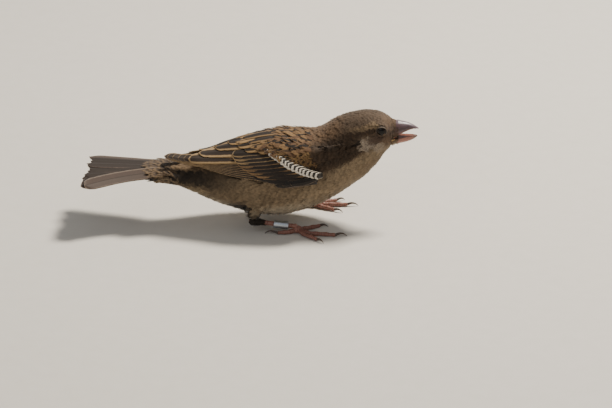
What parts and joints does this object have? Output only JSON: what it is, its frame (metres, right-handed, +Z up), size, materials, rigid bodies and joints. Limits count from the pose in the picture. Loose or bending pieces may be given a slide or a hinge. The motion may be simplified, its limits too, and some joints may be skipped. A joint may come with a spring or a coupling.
{
  "type": "house sparrow",
  "caption": "Small brown-streaked songbird crouched forward on the ground with its bill open, wings folded and tail part fanned, a plain metal ring on its right leg.",
  "frame": {"origin": "on the floor under the middle of the bird's bounding box", "axes": "+X towards the bill, +Y to the bird's left, +Z up"},
  "size_m": [0.1444, 0.0482, 0.0512],
  "materials": {
    "breast_feathers": "soft, matte contour feathers",
    "crown_feathers": "short, matte head feathers",
    "wing_feathers": "matte coverts with a faint sheen",
    "flight_feathers": "smooth vanes, slightly glossy along the shaft",
    "upper_bill_horn": "semi-gloss horn",
    "lower_bill_horn": "semi-gloss horn",
    "claw_horn": "semi-gloss dark horn",
    "leg_scutes": "satin scaly skin",
    "eye": "wet gloss",
    "ring_aluminium": "plain brushed metal, no lettering"
  },
  "bodies": {
    "root": {"bill_lower": "lower_bill_horn", "bill_upper": "upper_bill_horn", "claw_hind_left": "claw_horn", "claw_hind_right": "claw_horn", "claw_inner_left": "claw_horn", "claw_inner_right": "claw_horn", "claw_middle_left": "claw_horn", "claw_middle_right": "claw_horn", "claw_outer_left": "claw_horn", "claw_outer_right": "claw_horn", "eye_left": "eye", "eye_right": "eye", "foot_left": "leg_scutes", "foot_right": "leg_scutes", "head": "crown_feathers", "leg_ring": "ring_aluminium", "neck": "breast_feathers", "primaries_left": "flight_feathers", "primaries_right": "flight_feathers", "secondaries_left": "flight_feathers", "secondaries_right": "flight_feathers", "tail": "flight_feathers", "tail_base": "breast_feathers", "tarsus_left": "leg_scutes", "tarsus_right": "leg_scutes", "thigh_left": "breast_feathers", "thigh_right": "breast_feathers", "toe_hind_left": "leg_scutes", "toe_hind_right": "leg_scutes", "trunk": "breast_feathers", "wing_coverts_left": "wing_feathers", "wing_coverts_right": "wing_feathers"}
  },
  "joints": []
}
